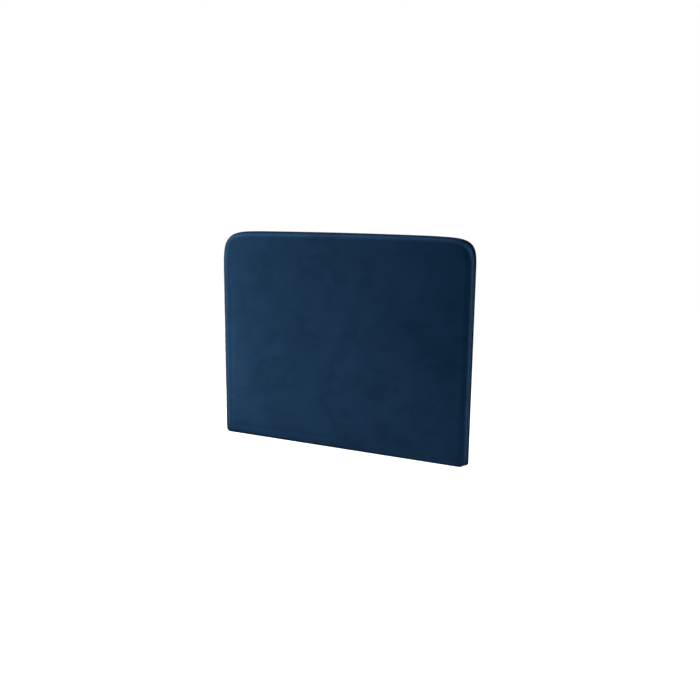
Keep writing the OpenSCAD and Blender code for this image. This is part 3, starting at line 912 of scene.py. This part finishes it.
STAPLE_GAP = 0.09
STAPLES_ACROSS = 14
STAPLES_UP = 11
STAPLE_START = 0.021
STAPLE_REACH = 0.007

# Each of these holds the lining up from inside the frame, and each of CLAMPS presses it down from outside.
BACKING = ("top_rail", "bottom_rail", "hanging_rail", "stile_left", "stile_right", "inner_stile_left",
           "inner_stile_right", "strut_left", "strut_right", "corner_block_left", "corner_block_right")
CLAMPS = ("pad_cleat", "spacer_left", "spacer_right")

# The lining stays flat for one mesh cell past each rail, so that no face cuts across the rail's edge.
SHEET_CELL = 0.013
CLAMP_CELL = 0.004

SHEET_WAVES = 16
SHEET_CREASE = 3 * MM
SHEET_SAG = 14 * MM
SHEET_LIFT = 1.6 * MM
SHEET_SLIDE = 3 * MM
SHEET_THICK = 0.4 * MM
BACKED_HOLD = 0.35
BACKED_SAG = 0.02 * MM
CLAMPED_LIFT = 0.01 * MM
SHEET_PRESSURE = -0.8
SHEET_GROWTH = 0.008
SHEET_BENDING = 0.05
SHEET_WEIGHT = 0.6


def staple_places():
    """Where the dust cloth's staples are, as (x, z) rows."""
    low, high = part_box("dust_cover_staples")
    across = STAPLE_GAP * (np.arange(STAPLES_ACROSS) - (STAPLES_ACROSS - 1) / 2)
    up = low.z + STAPLE_START + STAPLE_GAP * np.arange(STAPLES_UP)
    rows = [(x, z) for x in across for z in (low.z, high.z)] + [(x, z) for z in up for x in (low.x, high.x)]
    return np.array(rows)


def inside_boxes(x, z, names, margin):
    """Which places lie over any of the named nodes, or within a margin of one, seen from behind."""
    inside = np.zeros(len(x), bool)
    for name in names:
        low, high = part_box(name)
        inside |= ((x > low.x - margin) & (x < high.x + margin)
                   & (z > low.z - margin) & (z < high.z + margin))
    return inside


def dust_sheet():
    """Black lining, stapled round its edge, with spare cloth that sags and creases in the openings."""
    points = outline(CAD_TOP_CORNER, 2, CAD_BOTTOM_CORNER, 1, DUST_INSET, 0.0)[0]
    flat = np.stack([points[:, 0], np.full(len(points), dust_back - 0.1 * MM), points[:, 1]], axis=1)
    grid, faces = capped(flat[None], CELLS_X, CELLS_Z)
    x, z = grid[:, 0], grid[:, 2]
    backed = inside_boxes(x, z, BACKING, SHEET_CELL)
    clamped = inside_boxes(x, z, CLAMPS, CLAMP_CELL)
    staples = staple_places()
    to_staple = np.min(np.hypot(x[:, None] - staples[:, 0], z[:, None] - staples[:, 1]), axis=1)
    rng = np.random.default_rng(8)
    seed = np.zeros(len(grid))
    for size in rng.uniform(0.05, 0.22, SHEET_WAVES):
        heading, start = rng.uniform(0, math.pi), rng.uniform(0, 2 * math.pi)
        seed += size * np.sin((x * math.cos(heading) + z * math.sin(heading)) * 2 * math.pi / size + start)
    free = ~(backed | clamped)
    grid[:, 1] -= np.where(free, SHEET_CREASE * np.abs(seed), 0)
    made = piece("dust_sheet", grid, faces[:, ::-1], DUST)
    hold = np.where(to_staple < STAPLE_REACH, 1.0, np.where(backed, BACKED_HOLD, 0.0))
    hold[clamped] = 1.0
    spare = np.ones(len(grid))
    shift = settle_cloth(made, hold, spare, SHEET_PRESSURE, SHEET_GROWTH, SHEET_BENDING, SHEET_WEIGHT)
    sag = np.where(free, -SHEET_SAG, -BACKED_SAG)
    push = soft_limit(shift[:, 1], sag, np.where(clamped, CLAMPED_LIFT, SHEET_LIFT))
    slide = soft_limit(shift[:, [0, 2]], -SHEET_SLIDE, SHEET_SLIDE)
    move_points(made, np.stack([slide[:, 0], push, slide[:, 1]], axis=1))
    thicken(made, SHEET_THICK)
    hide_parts("dust_cover")
    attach(made, BODY)


FELT_CELLS = 16
FELT_POWER = 12
FELT_FUZZ = 0.06 * MM


def felt_pads():
    """A pressed felt pad on each spacer, with soft rims and a fibrous face."""
    low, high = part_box("spacer_felts")
    half = (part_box("spacer_left")[1].x - low.x) / 2
    middle = (low.y + high.y) / 2
    rows = [
        (1.2 * MM, high.y),
        (0.3 * MM, high.y - 0.5 * MM),
        (0.0, middle + 0.6 * MM),
        (0.1 * MM, middle - 0.8 * MM),
        (0.5 * MM, low.y + 0.2 * MM),
        (1.4 * MM, low.y),
    ]
    points, faces, used = [], [], 0
    for x in (low.x + half, high.x - half):
        rings = []
        for inset, y in rows:
            reach = (half - inset, half - inset)
            sides = []
            for start in (225, 315, 45, 135):
                side = corner_half((x, low.z + half), reach, FELT_POWER, start, start + 90)
                sides.append(resample(side, FELT_CELLS)[:-1])
            flat = np.concatenate(sides)
            rings.append(np.stack([flat[:, 0], np.full(len(flat), y), flat[:, 1]], axis=1))
        rings = np.stack(rings)
        for some, turn in ((rings, 1), (rings[:1], -1)):
            places, quads = capped(some, FELT_CELLS, FELT_CELLS)
            points.append(places)
            faces.append(quads[:, ::turn] + used)
            used += len(places)
    made = piece("felt_pads", np.concatenate(points), np.concatenate(faces), FELT)
    weld(made)
    rng = np.random.default_rng(14)
    move_points(made, rng.normal(0, FELT_FUZZ, (len(made.data.vertices), 3)))
    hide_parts("spacer_felts")
    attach(made, BODY)


velvet_boxing()
piping()
wadding()
foam_slab()
edge_foams()
dust_sheet()
felt_pads()

# ---- floor, light and camera ----

# The camera's place from the pad's middle, front and lower edge; turns in degrees, lens and sensor in mm.
CAMERA_RIGHT = 1.7120
CAMERA_AHEAD = 3.5004
CAMERA_UP = 1.2605
CAMERA_TURN = 25.075
CAMERA_TILT = -10.576
CAMERA_ROLL = 0.618
CAMERA_LENS = 39.56
SENSOR_WIDTH = 36
FLOOR_DROP = 0.6
FLOOR_HALF = 12

# Name, place and target measured from the pad's middle in z, disc size in metres, and power in watts.
LIGHTS = [
    ("front_right", (2.3, -4.0, 0.9), (0, FRONT), 1.8, 54),
    ("front_left", (-1.5, -4.4, 0.9), (0, FRONT), 1.8, 54),
    ("rear_raking", (-3.4, 1.5, 1.6), (0, 0), 1.0, 110),
    ("rear_fill", (1.6, 4.2, 0.2), (0, 0), 2.5, 34),
    ("right", (4.5, 0.6, 0.2), (0.7, FRONT), 2.0, 6),
]


def floor():
    """A plain pale floor below the hanging pad."""
    made = bpy.data.meshes.new("floor")
    z, far = BOTTOM - FLOOR_DROP, FLOOR_HALF
    made.from_pydata([(-far, -far, z), (far, -far, z), (far, far, z), (-far, far, z)], [], [(0, 1, 2, 3)])

    def build(tree, shader):
        shade = noise(tree, coords(tree), 1.5, 2.0)
        tree.links.new(ramp(tree, shade, [(0.3, 0.66), (0.7, 0.70)]), shader.inputs["Base Color"])
        shader.inputs["Roughness"].default_value = 0.9
        seen = node(tree, "ShaderNodeLightPath").outputs["Is Camera Ray"]
        shader.inputs["Emission Color"].default_value = (1, 1, 1, 1)
        tree.links.new(seen, shader.inputs["Emission Strength"])
    made.materials.append(material("studio_floor", build))
    thing = bpy.data.objects.new("floor", made)
    bpy.context.scene.collection.objects.link(thing)


def area_light(name, place, target, size, power):
    """A round soft light that points at its target."""
    light = bpy.data.lights.new(name, "AREA")
    light.shape = "DISK"
    light.size = size
    light.energy = power
    thing = bpy.data.objects.new(name, light)
    bpy.context.scene.collection.objects.link(thing)
    thing.location = place
    thing.rotation_euler = (Vector(target) - Vector(place)).to_track_quat("-Z", "Y").to_euler()


def studio():
    """Plain pale surroundings, bright to the camera only, and the soft lights."""
    world = bpy.data.worlds.new("studio")
    world.use_nodes = True
    tree = world.node_tree
    tree.nodes.clear()
    seen = node(tree, "ShaderNodeLightPath").outputs["Is Camera Ray"]
    strength = node(tree, "ShaderNodeMix", {0: seen, 2: 0.05, 3: 1.0}, data_type="FLOAT").outputs[0]
    sky = node(tree, "ShaderNodeBackground", {"Color": (1, 1, 1, 1), "Strength": strength})
    out = node(tree, "ShaderNodeOutputWorld")
    tree.links.new(sky.outputs[0], out.inputs[0])
    bpy.context.scene.world = world
    for name, (x, y, up), target, size, power in LIGHTS:
        area_light(name, (x, y, MIDDLE + up), (*target, MIDDLE), size, power)
    bpy.context.scene.view_settings.view_transform = "Standard"


def camera():
    """The camera, seeing the pad from the right and a little from above."""
    lens = bpy.data.cameras.new("camera")
    lens.lens = CAMERA_LENS
    lens.sensor_width = SENSOR_WIDTH
    thing = bpy.data.objects.new("camera", lens)
    bpy.context.scene.collection.objects.link(thing)
    thing.location = (CAMERA_RIGHT, FRONT - CAMERA_AHEAD, BOTTOM + CAMERA_UP)
    turn = Matrix.Rotation(math.radians(CAMERA_TURN), 4, "Z")
    tilt = Matrix.Rotation(math.radians(90 + CAMERA_TILT), 4, "X")
    roll = Matrix.Rotation(math.radians(CAMERA_ROLL), 4, "Z")
    thing.rotation_euler = (turn @ tilt @ roll).to_euler()
    bpy.context.scene.camera = thing


floor()
studio()
camera()
